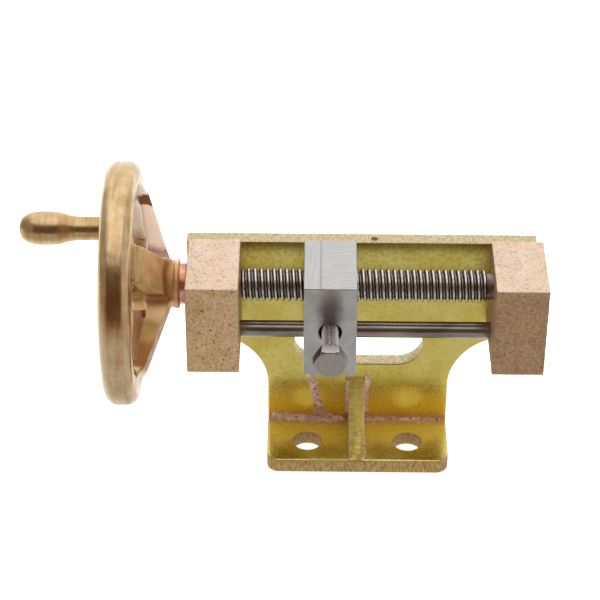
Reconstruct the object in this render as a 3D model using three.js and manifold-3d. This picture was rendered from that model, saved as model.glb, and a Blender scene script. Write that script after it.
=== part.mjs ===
// Handwheel screw slide: a nut block driven along a leadscrew between two bearing blocks, on an L-shaped
// foot bracket with a gusset rib. Millimetres, +X along the screw towards the plain end, +Y back, +Z up.
// The origin is on the underside of the foot, midway between its two bolt holes.
import * as THREE from 'three';
import { mergeVertices } from 'three/addons/utils/BufferGeometryUtils.js';
import Module from 'manifold-3d';

const wasm = await Module();
wasm.setup();

// Driving dimensions
const screwHeight = 53;            // screw axis above the foot's underside
const screwY = -1.75;              // screw axis in front of the bolt-hole line
const screwDiameter = 8;           // Tr8 x 1.5 leadscrew
const screwPitch = 1.5;
const journalDiameter = 6;
const railDrop = 13;               // guide rail below the screw axis
const railDiameter = 4;
const boltDrop = 6.5;              // clamp bolt below the screw axis
const boltDiameter = 4;            // M4
const gapWidth = 60;               // clear length between the bearing blocks
const gapCentreX = 1.15;
const blockWidth = 12.5;
const blockDepth = 21;
const blockTop = 58.9;
const blockBottom = 34.4;
const nutWidth = 12.5;
const nutCentreX = -7.35;
const nutDepth = 20.25;
const nutTop = 59.1;
const nutBottom = 34.1;
const plateThickness = 4;
const plateTop = 58;
const plateLeft = -41.85;
const plateRight = 42.15;
const bandBottom = 30.2;           // lower edge of the plate beside the waist
const footWidth = 45;
const footDepth = 20.5;
const footCorner = 3;
const footHoleDiameter = 7;
const footHoleSpacing = 25;
const holeSetback = 7.75;          // bolt-hole line behind the foot's front edge
const wheelRadius = 28.9;
const wheelAngle = -2.2;           // the wheel's position at rest, degrees about the screw
const handleRadius = 24.5;         // handle axis from the screw axis
const runClearance = 0.08;         // radial, for pieces that turn or slide
const seatClearance = 0.03;        // radial, for pieces that stay put
const seamGap = 0.02;              // between faces that only just miss each other

// Places worked out from them
const leftInner = gapCentreX - gapWidth / 2;
const leftOuter = leftInner - blockWidth;
const rightInner = gapCentreX + gapWidth / 2;
const rightOuter = rightInner + blockWidth;
const blockFront = screwY - blockDepth / 2;
const plateFront = screwY + blockDepth / 2;
const plateBack = plateFront + plateThickness;
const footFront = -holeSetback;
const railZ = screwHeight - railDrop;
const boltZ = screwHeight - boltDrop;
const nutFront = blockFront;
const nutBack = nutFront + nutDepth;
const pairCentreZ = (blockTop + blockBottom) / 2;

const part = new THREE.Group();

// ---------- helpers ----------

function finish(colour, roughness, metalness = 0.9) {
  return new THREE.MeshStandardMaterial({ color: colour, roughness, metalness });
}

const brass = finish(0xa8974b, 0.38);
const bronze = finish(0xc79f78, 0.55);
const polishedBronze = finish(0xc9a97c, 0.22);
const copper = finish(0xb87f66, 0.6);
const groundSteel = finish(0x9a9894, 0.35);
const darkSteel = finish(0x5e5852, 0.4);
const brightSteel = finish(0xb9b4ae, 0.25);

// A closed mesh whose shared vertices are merged, as a solid that can be cut and joined.
function toSolid(geometry) {
  const bare = geometry.index ? geometry.toNonIndexed() : geometry.clone();
  bare.deleteAttribute('normal');
  bare.deleteAttribute('uv');
  const merged = mergeVertices(bare, 1e-4);
  return new wasm.Manifold(new wasm.Mesh({
    numProp: 3,
    vertProperties: new Float32Array(merged.attributes.position.array),
    triVerts: new Uint32Array(merged.index.array),
  }));
}

function toGeometry(solid) {
  const mesh = solid.getMesh();
  const geometry = new THREE.BufferGeometry();
  geometry.setAttribute('position', new THREE.BufferAttribute(mesh.vertProperties, 3));
  geometry.setIndex(new THREE.BufferAttribute(mesh.triVerts, 1));
  geometry.computeVertexNormals();
  return geometry;
}

function cut(body, ...tools) {
  return toGeometry(tools.reduce((rest, tool) => rest.subtract(toSolid(tool)), toSolid(body)));
}

function join(...bodies) {
  return toGeometry(bodies.map(toSolid).reduce((whole, body) => whole.add(body)));
}

function addNode(name, geometry, material, parent = part) {
  const mesh = new THREE.Mesh(geometry, material);
  mesh.name = name;
  parent.add(mesh);
  return mesh;
}

// A box between two corners.
function box(x0, y0, z0, x1, y1, z1) {
  return new THREE.BoxGeometry(x1 - x0, y1 - y0, z1 - z0)
    .translate((x0 + x1) / 2, (y0 + y1) / 2, (z0 + z1) / 2);
}

// A block between two corners with every edge along its length bevelled.
function bevelledBlock(x0, y0, z0, x1, y1, z1, bevel) {
  const outline = new THREE.Shape();
  outline.moveTo(y0 + bevel, z0 + bevel);
  outline.lineTo(y1 - bevel, z0 + bevel);
  outline.lineTo(y1 - bevel, z1 - bevel);
  outline.lineTo(y0 + bevel, z1 - bevel);
  outline.closePath();
  const options = {
    depth: x1 - x0 - 2 * bevel, bevelEnabled: true, bevelSize: bevel, bevelThickness: bevel, bevelSegments: 1,
  };
  const extruded = new THREE.ExtrudeGeometry(outline, options);
  const axes = new THREE.Matrix4().makeBasis(
    new THREE.Vector3(0, 1, 0), new THREE.Vector3(0, 0, 1), new THREE.Vector3(1, 0, 0));
  return extruded.applyMatrix4(axes).translate(x0 + bevel, 0, 0);
}

// A solid of revolution about a line along X. The profile is [x, radius] pairs that start and end on the
// axis, or that close on themselves.
function turnedX(profile, y, z, segments) {
  const points = profile.map(([x, radius]) => new THREE.Vector2(radius, x));
  return new THREE.LatheGeometry(points, segments).rotateZ(-Math.PI / 2).translate(0, y, z);
}

function rodX(x0, x1, radius, y, z, segments = 32) {
  return turnedX([[x0, 0], [x0, radius], [x1, radius], [x1, 0]], y, z, segments);
}

// The same about a line along Y; the profile is [y, radius] pairs.
function turnedY(profile, x, z, segments) {
  const points = profile.map(([y, radius]) => new THREE.Vector2(radius, y));
  return new THREE.LatheGeometry(points, segments).translate(x, 0, z);
}

function ringX(x0, x1, inner, outer, y, z, segments = 32) {
  return turnedX([[x0, inner], [x0, outer], [x1, outer], [x1, inner], [x0, inner]], y, z, segments);
}

// An outline drawn in (x, z), as a plate between two y planes.
function plateY(outline, y0, y1) {
  return new THREE.ExtrudeGeometry(outline, { depth: y1 - y0, bevelEnabled: false, curveSegments: 8 })
    .rotateX(Math.PI / 2).translate(0, y1, 0);
}

// An outline drawn in (y, z), as a slab between two x planes.
function slabX(points, x0, x1) {
  const outline = new THREE.Shape(points.map(([y, z]) => new THREE.Vector2(y, z)));
  const axes = new THREE.Matrix4().makeBasis(
    new THREE.Vector3(0, 1, 0), new THREE.Vector3(0, 0, 1), new THREE.Vector3(1, 0, 0));
  return new THREE.ExtrudeGeometry(outline, { depth: x1 - x0, bevelEnabled: false })
    .applyMatrix4(axes).translate(x0, 0, 0);
}

// ---------- bracket ----------

const waistRadius = 15;
const slotLength = 32;
const slotHeight = 13;
const slotZ = 28;
const blockScrewDrop = 7;          // block screws above and below the blocks' middle
const blockScrewLength = 8;
const countersinkRadius = 4;
const countersinkDepth = 2.1;
const leftBlockX = (leftOuter + leftInner) / 2;
const rightBlockX = (rightInner + rightOuter) / 2;
const blockScrewPlaces = [leftBlockX, rightBlockX].flatMap((x) => [
  { x, z: pairCentreZ + blockScrewDrop }, { x, z: pairCentreZ - blockScrewDrop }]);

function backPlateOutline() {
  const half = footWidth / 2;
  const waistX = half + waistRadius;
  const waistZ = bandBottom - waistRadius;
  const outline = new THREE.Shape();
  outline.moveTo(-half, plateThickness);
  outline.lineTo(half, plateThickness);
  outline.lineTo(half, waistZ);
  outline.absarc(waistX, waistZ, waistRadius, Math.PI, Math.PI / 2, true);
  outline.lineTo(plateRight, bandBottom);
  outline.lineTo(plateRight, plateTop);
  outline.lineTo(plateLeft, plateTop);
  outline.lineTo(plateLeft, bandBottom);
  outline.lineTo(-waistX, bandBottom);
  outline.absarc(-waistX, waistZ, waistRadius, Math.PI / 2, 0, true);
  outline.closePath();
  const slot = new THREE.Path();
  const endX = (slotLength - slotHeight) / 2;
  slot.absarc(endX, slotZ, slotHeight / 2, -Math.PI / 2, Math.PI / 2, false);
  slot.absarc(-endX, slotZ, slotHeight / 2, Math.PI / 2, 1.5 * Math.PI, false);
  slot.closePath();
  outline.holes.push(slot);
  return outline;
}

function countersunkHole({ x, z }) {
  const radius = boltDiameter / 2 + runClearance;
  const profile = [[plateFront - 1, 0], [plateFront - 1, radius], [plateBack - countersinkDepth, radius],
    [plateBack, countersinkRadius], [plateBack + 1, countersinkRadius], [plateBack + 1, 0]];
  return turnedY(profile, x, z, 24);
}

addNode('back_plate', cut(plateY(backPlateOutline(), plateFront, plateBack),
  ...blockScrewPlaces.map(countersunkHole)), brass);

function footOutline() {
  const half = footWidth / 2;
  const back = footFront + footDepth;
  const outline = new THREE.Shape();
  outline.moveTo(-half, back);
  outline.lineTo(-half, footFront + footCorner);
  outline.absarc(-half + footCorner, footFront + footCorner, footCorner, Math.PI, 1.5 * Math.PI, false);
  outline.absarc(half - footCorner, footFront + footCorner, footCorner, 1.5 * Math.PI, 2 * Math.PI, false);
  outline.lineTo(half, back);
  outline.closePath();
  for (const side of [-1, 1]) {
    const hole = new THREE.Path();
    hole.absarc(side * footHoleSpacing / 2, 0, footHoleDiameter / 2, 0, 2 * Math.PI, false);
    outline.holes.push(hole);
  }
  return outline;
}

addNode('foot_plate', new THREE.ExtrudeGeometry(footOutline(),
  { depth: plateThickness, bevelEnabled: false, curveSegments: 8 }), brass);

const ribCentreX = -0.3;
const ribTop = 17.5;
const ribToe = 0.6;
const ribLeft = ribCentreX - plateThickness / 2;
const ribRight = ribCentreX + plateThickness / 2;

addNode('gusset_rib', slabX([[footFront, plateThickness], [plateFront, plateThickness], [plateFront, ribTop],
  [footFront, plateThickness + ribToe]], ribLeft, ribRight), brass);

const bushRadius = 4;
const railSeatDepth = 6;
const blindBushDepth = 10;
const blockBevel = 0.25;

function blockHoles(innerX, boreX0, boreX1, side) {
  const railEnd = innerX + side * railSeatDepth;
  const holeEnd = plateBack - blockScrewLength - 0.5;
  const holeRadius = boltDiameter / 2 + seatClearance;
  const holeProfile = [[holeEnd, 0], [holeEnd, holeRadius], [plateFront + 1, holeRadius],
    [plateFront + 1, 0]];
  const screwHoles = blockScrewPlaces.filter(({ x }) => Math.sign(x) === side)
    .map(({ x, z }) => turnedY(holeProfile, x, z, 24));
  return [
    rodX(boreX0, boreX1, bushRadius + seatClearance, screwY, screwHeight),
    rodX(Math.min(railEnd, innerX - side), Math.max(railEnd, innerX - side), railDiameter / 2 + seatClearance,
      screwY, railZ),
    ...screwHoles,
  ];
}

addNode('left_bearing_block', cut(
  bevelledBlock(leftOuter, blockFront, blockBottom, leftInner, plateFront, blockTop, blockBevel),
  ...blockHoles(leftInner, leftOuter - 1, leftInner + 1, -1)), bronze);
addNode('right_bearing_block', cut(
  bevelledBlock(rightInner, blockFront, blockBottom, rightOuter, plateFront, blockTop, blockBevel),
  ...blockHoles(rightInner, rightInner - 1, rightInner + blindBushDepth, 1)), bronze);

const railLeft = leftInner - railSeatDepth + seatClearance;
const railRight = rightInner + railSeatDepth - seatClearance;
addNode('guide_rod', rodX(railLeft, railRight, railDiameter / 2, screwY, railZ), darkSteel);

const bushBore = journalDiameter / 2 + runClearance;
const leftBush = ringX(leftOuter + seamGap, leftInner - seamGap, bushBore, bushRadius, screwY, screwHeight);
addNode('left_bush', leftBush, polishedBronze);
const rightBushEnd = rightInner + blindBushDepth - 2 * seamGap;
const rightBush = ringX(rightInner + seamGap, rightBushEnd, bushBore, bushRadius, screwY, screwHeight);
addNode('right_bush', rightBush, polishedBronze);

function countersunkScrew({ x, z }) {
  const radius = boltDiameter / 2;
  const tip = plateBack - blockScrewLength;
  const profile = [[tip, 0], [tip, radius - 0.3], [tip + 0.3, radius],
    [plateBack - countersinkDepth, radius], [plateBack - 0.2, countersinkRadius - 0.3],
    [plateBack - seamGap, countersinkRadius - 0.3], [plateBack - seamGap, 0]];
  const slot = box(x - 3, plateBack - 0.9, z - 0.45, x + 3, plateBack + 1, z + 0.45);
  return cut(turnedY(profile, x, z, 24), slot.translate(-x, 0, -z).rotateY(Math.PI / 5).translate(x, 0, z));
}

blockScrewPlaces.forEach((place, index) => {
  addNode(`block_screw_${index + 1}`, countersunkScrew(place), brightSteel);
});

// Braze beads: a run along each inside corner where the plates meet, and one run down the back plate.
const beadSize = 1.5;
const beadEnd = 0.4;

function alongCorner(x0, x1) {
  return slabX([[plateFront - beadSize, plateThickness], [plateFront, plateThickness],
    [plateFront, plateThickness + beadSize], [plateFront - 0.4 * beadSize, plateThickness + 0.6 * beadSize]],
  x0, x1);
}

function besideRib(side) {
  const ribFace = side < 0 ? ribLeft : ribRight;
  const corner = [[0, 0], [beadSize * 0.8, 0], [beadSize * 0.4, beadSize * 0.4], [0, beadSize * 0.8]];
  const outline = new THREE.Shape(corner.map(([across, deep]) => new THREE.Vector2(side * across, -deep)));
  const height = ribTop - plateThickness - beadSize - 2 * beadEnd;
  return new THREE.ExtrudeGeometry(outline, { depth: height, bevelEnabled: false })
    .translate(ribFace, plateFront, plateThickness + beadSize + beadEnd);
}

const footEnd = footWidth / 2 - beadEnd;
addNode('braze_corner_left', alongCorner(-footEnd, ribLeft - seamGap), copper);
addNode('braze_corner_right', alongCorner(ribRight + seamGap, footEnd), copper);
addNode('braze_rib_left', besideRib(-1), copper);
addNode('braze_rib_right', besideRib(1), copper);

function brazeStreak() {
  const [topX, topZ, lowX, lowZ] = [-12.3, 20.2, -9.1, 6.6];
  const halfWidth = 1.1;
  const outline = new THREE.Shape();
  outline.moveTo(topX - halfWidth, topZ);
  outline.lineTo(lowX - halfWidth, lowZ);
  outline.lineTo(lowX + halfWidth, lowZ);
  outline.lineTo(topX + halfWidth, topZ);
  outline.closePath();
  return plateY(outline, plateFront - 0.3, plateFront);
}

addNode('braze_streak', brazeStreak(), copper);

// ---------- leadscrew and handwheel ----------

const threadRootRadius = 3.2;
const threadLeft = leftInner + 0.25;
const threadRight = rightInner - 1.5;
const wheelSeatRadius = 2.5;
const collarRadius = 4.87;
const hubRight = leftOuter - 1.75;
const hubLeft = hubRight - 11;
const wheelWasherThickness = 0.8;
const wheelNutThickness = 3.9;
const stubLeft = hubLeft - wheelWasherThickness - wheelNutThickness - 0.9;

// Thread radius at a place along the pitch, 0 to 1: a trapezoid whose crest is a little under half of it.
function threadRadius(phase) {
  const place = phase - Math.floor(phase);
  const [crestEnd, rootStart, rootEnd] = [0.37, 0.5, 0.87];
  const rise = screwDiameter / 2 - threadRootRadius;
  if (place < crestEnd) {
    return threadRootRadius + rise;
  }
  if (place < rootStart) {
    return threadRootRadius + rise * (rootStart - place) / (rootStart - crestEnd);
  }
  if (place < rootEnd) {
    return threadRootRadius;
  }
  return threadRootRadius + rise * (place - rootEnd) / (1 - rootEnd);
}

// A shaft along X from rings of points: each ring has an x and a radius that may change round the axis.
function shaftFromRings(rings, segments) {
  const positions = [];
  const index = [];
  for (const { x, radius } of rings) {
    for (let i = 0; i < segments; i += 1) {
      const angle = 2 * Math.PI * i / segments;
      const r = radius(angle);
      positions.push(x, screwY + r * Math.cos(angle), screwHeight + r * Math.sin(angle));
    }
  }
  const first = positions.length / 3;
  positions.push(rings[0].x, screwY, screwHeight, rings.at(-1).x, screwY, screwHeight);
  const lastRing = (rings.length - 1) * segments;
  for (let i = 0; i < segments; i += 1) {
    const next = (i + 1) % segments;
    index.push(first, next, i, first + 1, lastRing + i, lastRing + next);
    for (let row = 0; row < rings.length - 1; row += 1) {
      const [a, b] = [row * segments + i, row * segments + next];
      index.push(a, b, b + segments, a, b + segments, a + segments);
    }
  }
  const geometry = new THREE.BufferGeometry();
  geometry.setAttribute('position', new THREE.BufferAttribute(new Float32Array(positions), 3));
  geometry.setIndex(index);
  return geometry;
}

function leadscrew() {
  const rings = [];
  const plain = (x0, x1, radius) => {
    rings.push({ x: x0, radius: () => radius }, { x: x1, radius: () => radius });
  };
  plain(stubLeft, hubRight, wheelSeatRadius);
  plain(hubRight, threadLeft, journalDiameter / 2);
  const rowsPerPitch = 4;
  const rows = Math.floor((threadRight - threadLeft) / screwPitch * rowsPerPitch);
  for (let row = 0; row <= rows; row += 1) {
    const x = threadLeft + row * screwPitch / rowsPerPitch;
    rings.push({ x, radius: (angle) => threadRadius(x / screwPitch - angle / (2 * Math.PI)) });
  }
  plain(threadLeft + rows * screwPitch / rowsPerPitch, rightInner - 0.25, threadRootRadius);
  plain(rightInner - 0.25, rightInner + blindBushDepth - 0.5, journalDiameter / 2);
  return shaftFromRings(rings, 12);
}

addNode('leadscrew', leadscrew(), darkSteel);

const collar = ringX(hubRight + seamGap, leftOuter - 0.05, bushBore, collarRadius, screwY, screwHeight);
addNode('thrust_collar', collar, copper);

const rimLeft = leftOuter - 18.75;
const rimRight = leftOuter - 11.25;
const rimInnerRadius = 22;
const rimCorner = 2.7;
const hubRadius = 5.6;
const spokeHalfWidth = 4.2;
const spokeCount = 4;

// Rounded section of the rim as [x, radius] points that close on themselves.
function rimSection() {
  const corners = [
    [rimLeft + rimCorner, rimInnerRadius + rimCorner, Math.PI],
    [rimRight - rimCorner, rimInnerRadius + rimCorner, 1.5 * Math.PI],
    [rimRight - rimCorner, wheelRadius - rimCorner, 0],
    [rimLeft + rimCorner, wheelRadius - rimCorner, 0.5 * Math.PI],
  ];
  const steps = 3;
  const points = corners.flatMap(([x, radius, start]) => Array.from({ length: steps + 1 }, (_, i) => {
    const angle = start + 0.5 * Math.PI * i / steps;
    return [x + rimCorner * Math.cos(angle), radius + rimCorner * Math.sin(angle)];
  }));
  points.reverse();
  return [...points, points[0]];
}

// One spoke: a blade that leans back from the hub to the rim, straight up before it is turned into place.
function spoke(angle) {
  const [root, tip] = [2.8, rimInnerRadius + 1.6];
  const back = rimRight + 0.65;
  const front = [[root, hubRight - 2.3], [14.7, hubRight - 5.4], [rimInnerRadius - 0.7, hubRight - 7.7]];
  const end = [[tip, rimRight - 0.8], [tip, rimRight - 3.4], [20.5, back - 1.3]];
  const side = [...front, ...end, [16.5, back], [11, back], [8.8, back + 1.3], [root, back + 1.3]];
  const outline = new THREE.Shape(side.map(([radius, x]) => new THREE.Vector2(x, radius)));
  return new THREE.ExtrudeGeometry(outline, { depth: 2 * spokeHalfWidth, bevelEnabled: false })
    .translate(0, 0, -spokeHalfWidth).rotateX(Math.PI / 2).rotateX(angle);
}

function handwheel() {
  const hub = turnedX([[hubLeft, 0], [hubLeft, 6], [hubLeft + 5, 6.6], [hubRight - 2.6, hubRadius + 0.2],
    [hubRight - 0.3, hubRadius], [hubRight, hubRadius - 0.3], [hubRight, 0]], 0, 0, 48);
  const rim = turnedX(rimSection(), 0, 0, 48);
  const spokes = Array.from({ length: spokeCount }, (_, i) => spoke(Math.PI * (0.25 + 0.5 * i)));
  const bore = rodX(hubLeft - 1, hubRight + 1, wheelSeatRadius + seatClearance, 0, 0, 48);
  const pinHole = rodX(rimLeft - 1, rimRight + 1, pinRadius + seatClearance, handleRadius, 0, 24);
  return cut(join(hub, rim, ...spokes), bore, pinHole);
}

// Puts a piece that is built about the X axis onto the screw's axis at the wheel's rest position.
function ontoScrew(geometry) {
  return geometry.rotateX(THREE.MathUtils.degToRad(wheelAngle)).translate(0, screwY, screwHeight);
}

const pinRadius = 1.5;
const handleTip = leftOuter - 42.65;
const handleEnd = rimLeft - 0.12;
const pinHeadRadius = 2.1;
const pinHeadLength = 2.8;

addNode('handwheel', ontoScrew(handwheel()), polishedBronze);

const washerRight = hubLeft - seamGap;
addNode('wheel_washer', ringX(washerRight - wheelWasherThickness, washerRight, wheelSeatRadius + 0.1, 5,
  screwY, screwHeight), brightSteel);

function wheelNut() {
  const right = washerRight - wheelWasherThickness - seamGap;
  const left = right - wheelNutThickness;
  const acrossCorners = 8 / Math.cos(Math.PI / 6);
  const prism = rodX(left, right, acrossCorners / 2, screwY, screwHeight, 6);
  const bore = rodX(left - 1, right + 1, wheelSeatRadius + seatClearance, screwY, screwHeight, 48);
  return cut(prism, bore);
}

addNode('wheel_nut', wheelNut(), brightSteel);

function handlePin() {
  const shoulder = handleTip + pinHeadLength;
  const head = [[handleTip, 0], [handleTip + 0.12, 1], [handleTip + 0.45, 1.7],
    [handleTip + 0.9, pinHeadRadius]];
  const shank = [[shoulder, pinHeadRadius], [shoulder, pinRadius], [rimRight - 0.2, pinRadius]];
  const profile = [...head, ...shank, [rimRight + 0.1, pinRadius - 0.3], [rimRight + 0.1, 0]];
  return ontoScrew(turnedX(profile, handleRadius, 0, 24));
}

addNode('handle_pin', handlePin(), polishedBronze);

// The handle swells towards its round end and has a low collar against the rim.
function handle() {
  const bore = pinRadius + runClearance;
  const mouth = pinHeadRadius + runClearance;
  const outside = [[0.45, mouth], [0.9, 2.65], [1.6, 3.25], [2.4, 3.65], [3.2, 3.9], [4.1, 4.1], [5.4, 4.2],
    [7.8, 4.2], [9.8, 4], [11.3, 3.6], [12.8, 3.2], [14.4, 3], [18.2, 2.95], [19.8, 3.15], [21.2, 3.5],
    [22, 3.9]];
  const profile = outside.map(([along, radius]) => [handleTip + along, radius]);
  profile.push([handleEnd - 0.2, 3.9], [handleEnd, 3.7], [handleEnd, bore]);
  profile.push([handleTip + pinHeadLength + 0.05, bore], [handleTip + pinHeadLength + 0.05, mouth]);
  profile.push(profile[0]);
  return ontoScrew(turnedX(profile, handleRadius, 0, 32));
}

addNode('handle', handle(), polishedBronze);

// ---------- nut block and its bolt ----------

const nutLeft = nutCentreX - nutWidth / 2;
const nutRight = nutCentreX + nutWidth / 2;
const boltStandOff = 9.2;          // bolt head's underside in front of the nut block
const boltLength = 20;
const headThickness = 3.2;
const headAcrossFlats = 7;

function nutBlock() {
  const mouthRadius = 2.65;
  const mouthDepth = 3;
  const boltBore = boltDiameter / 2 + runClearance;
  const mouthEnd = nutFront + mouthDepth;
  const holeProfile = [[nutFront - 1, 0], [nutFront - 1, mouthRadius], [mouthEnd, mouthRadius],
    [mouthEnd, boltBore], [nutBack + 1, boltBore], [nutBack + 1, 0]];
  const boltHole = turnedY(holeProfile, nutCentreX, boltZ, 32);
  return cut(bevelledBlock(nutLeft, nutFront, nutBottom, nutRight, nutBack, nutTop, 0.2),
    rodX(nutLeft - 1, nutRight + 1, screwDiameter / 2 + runClearance, screwY, screwHeight, 48),
    rodX(nutLeft - 1, nutRight + 1, railDiameter / 2 + runClearance, screwY, railZ, 48), boltHole);
}

addNode('nut_block', nutBlock(), groundSteel);

function clampBolt() {
  const headBack = nutFront - boltStandOff;
  const headFront = headBack - headThickness;
  const tip = headBack + boltLength;
  const radius = boltDiameter / 2;
  const cornerRadius = headAcrossFlats / 2 / Math.cos(Math.PI / 6);
  const hexagon = new THREE.CylinderGeometry(cornerRadius, cornerRadius, headThickness, 6)
    .rotateY(Math.PI / 2).translate(nutCentreX, (headFront + headBack) / 2, boltZ);
  const envelope = [[headFront, 0], [headFront, headAcrossFlats / 2 - 0.1],
    [headFront + 0.45, cornerRadius + 0.1], [headBack, cornerRadius + 0.1], [headBack, 0]];
  const chamfer = turnedY(envelope, nutCentreX, boltZ, 32);
  const rod = [[headBack - 1, 0], [headBack - 1, radius], [tip - 0.5, radius], [tip, radius - 0.5], [tip, 0]];
  const shank = turnedY(rod, nutCentreX, boltZ, 32);
  return toGeometry(toSolid(hexagon).intersect(toSolid(chamfer)).add(toSolid(shank)));
}

addNode('clamp_bolt', clampBolt(), brightSteel);

export default part;
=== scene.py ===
"""The looks of a handwheel screw slide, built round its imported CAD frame.

Shapes are worked out in millimetres in the CAD's own frame and scaled to metres when a mesh is made.
The slide lies along X with its handwheel at the low end, its foot on Z 0 and its plate at the back.
"""
import math
from itertools import product

import bmesh
import bpy
import numpy as np
from mathutils import Matrix, Vector, noise
from mathutils.geometry import tessellate_polygon


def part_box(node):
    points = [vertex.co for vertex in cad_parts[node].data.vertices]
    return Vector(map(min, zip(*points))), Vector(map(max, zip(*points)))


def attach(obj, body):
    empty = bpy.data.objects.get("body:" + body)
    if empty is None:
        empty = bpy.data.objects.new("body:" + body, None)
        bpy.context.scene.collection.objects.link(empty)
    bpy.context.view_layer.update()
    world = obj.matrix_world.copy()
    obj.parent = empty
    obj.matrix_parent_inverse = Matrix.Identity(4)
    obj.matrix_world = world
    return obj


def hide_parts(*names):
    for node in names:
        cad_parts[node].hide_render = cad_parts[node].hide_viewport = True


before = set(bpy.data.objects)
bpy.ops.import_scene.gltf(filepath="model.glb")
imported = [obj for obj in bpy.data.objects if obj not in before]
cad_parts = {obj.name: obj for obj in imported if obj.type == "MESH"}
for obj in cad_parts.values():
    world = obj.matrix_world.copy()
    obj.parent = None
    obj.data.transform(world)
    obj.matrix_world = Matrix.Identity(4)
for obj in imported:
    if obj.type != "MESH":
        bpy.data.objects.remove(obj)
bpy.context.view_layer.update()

MM = 0.001
MERGE = 2e-6      # metres between points that are taken as one


# ---------- places, from the CAD frame ----------

def span(node):
    """Lowest and highest corner of a CAD node, in millimetres."""
    low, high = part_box(node)
    return np.array(low) / MM, np.array(high) / MM


def middle(node):
    low, high = span(node)
    return (low + high) / 2


PLATE_LOW, PLATE_HIGH = span("back_plate")
FOOT_LOW, FOOT_HIGH = span("foot_plate")
RIB_LOW, RIB_HIGH = span("gusset_rib")
RIB_HALF = (RIB_HIGH[0] - RIB_LOW[0]) / 2
LEFT_LOW, LEFT_HIGH = span("left_bearing_block")
RIGHT_LOW, RIGHT_HIGH = span("right_bearing_block")
NUT_LOW, NUT_HIGH = span("nut_block")
BOLT_LOW, BOLT_HIGH = span("clamp_bolt")
SCREW_LOW, SCREW_HIGH = span("leadscrew")
WHEEL_LOW, WHEEL_HIGH = span("handwheel")
HANDLE_END = span("handle")[1][0]
PIN_TIP = span("handle_pin")[0][0]

SCREW_Y, SCREW_Z = middle("thrust_collar")[1:]
RAIL_Y, RAIL_Z = middle("guide_rod")[1:]
BOLT_X, _, BOLT_Z = middle("clamp_bolt")
HANDLE_Y, HANDLE_Z = middle("handle")[1:]
HANDLE_RADIUS = math.hypot(HANDLE_Y - SCREW_Y, HANDLE_Z - SCREW_Z)
WHEEL_TURN = math.atan2(HANDLE_Z - SCREW_Z, HANDLE_Y - SCREW_Y)
BLOCK_SCREWS = [tuple(middle(f"block_screw_{i}")[[0, 2]]) for i in range(1, 5)]

# Sizes that the CAD holds and the boxes don't show
SCREW_RADIUS = 4.0
SCREW_PITCH = 1.5
JOURNAL_RADIUS = 3.0
RAIL_RADIUS = 2.0
BUSH_RADIUS = 4.0
BUSH_BORE = 3.08
WAIST_RADIUS = 15.0
BAND_BOTTOM = 30.2
SLOT_LENGTH = 32.0
SLOT_HEIGHT = 13.0
SLOT_Z = 28.0
FOOT_CORNER = 3.0
FOOT_HOLE_RADIUS = 3.5
FOOT_HOLE_X = 12.5
DENT_X, DENT_IN = 3.2, 1.7      # in the plate's top edge
BOLT_RADIUS = 2.0
BOLT_PITCH = 0.7
BOLT_MOUTH_RADIUS = 2.65
BOLT_MOUTH_DEPTH = 3.0
HEAD_THICKNESS = 3.2
HEAD_FLATS = 7.0
WHEEL_RADIUS = 28.9
RIM_INNER_RADIUS = 22.0
RIM_CORNER = 2.7
WHEEL_BORE = 2.53
RIM_WIDTH = 7.5
HUB_RADIUS = 5.6
SPOKE_HALF_WIDTH = 4.2
SPOKE_CORNER = 0.3
PIN_RADIUS = 1.5
PIN_END_RADIUS = 2.6
RIM_LEFT, RIM_RIGHT = WHEEL_LOW[0], WHEEL_LOW[0] + RIM_WIDTH
HUB_LEFT, HUB_RIGHT = WHEEL_HIGH[0] - 11.0, WHEEL_HIGH[0]

PLATE_EDGE, FOOT_EDGE, RIB_EDGE = 0.3, 0.45, 0.28
BEAD_STEP = 0.2
SLIDING_GAP = 0.08
SCREW_AXIS = (SCREW_Y, SCREW_Z)
RAIL_AXIS = (RAIL_Y, RAIL_Z)


# ---------- mesh helpers ----------

QUAD = ((0, 0), (1, 0), (1, 1), (0, 1))


def arc(x, y, radius, start, end, steps):
    """Points along an arc, with the angles in degrees."""
    angles = np.radians(np.linspace(start, end, steps + 1))
    return [(x + radius * math.cos(a), y + radius * math.sin(a)) for a in angles]


def softened(points, radius, steps=4, closed=False):
    """The outline with each corner replaced by a small curve that starts about that far from it."""
    count = len(points)
    result = []
    for i, point in enumerate(points):
        if not closed and i in (0, count - 1):
            result.append(point)
            continue
        here = np.array(point, float)
        before = np.array(points[i - 1], float) - here
        after = np.array(points[(i + 1) % count], float) - here
        first, second = np.linalg.norm(before), np.linalg.norm(after)
        start = here + before / first * min(radius, 0.45 * first)
        end = here + after / second * min(radius, 0.45 * second)
        for t in np.linspace(0, 1, steps + 1):
            result.append(tuple((1 - t) ** 2 * start + 2 * t * (1 - t) * here + t * t * end))
    return result


def grid_faces(rows, columns, wrap_columns=False, wrap_rows=False):
    """Quads over a grid of points that is stored row by row."""
    last_row = rows if wrap_rows else rows - 1
    last_column = columns if wrap_columns else columns - 1
    row, column = np.meshgrid(np.arange(last_row), np.arange(last_column), indexing="ij")
    next_row, next_column = (row + 1) % rows, (column + 1) % columns
    corners = (row * columns + column, row * columns + next_column,
               next_row * columns + next_column, next_row * columns + column)
    return np.stack(corners, -1).reshape(-1, 4).tolist()


def angles_of(segments):
    return np.arange(segments) * 2 * math.pi / segments


def across_up(axis):
    """The two other axes."""
    return [i for i in range(3) if i != axis]


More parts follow.
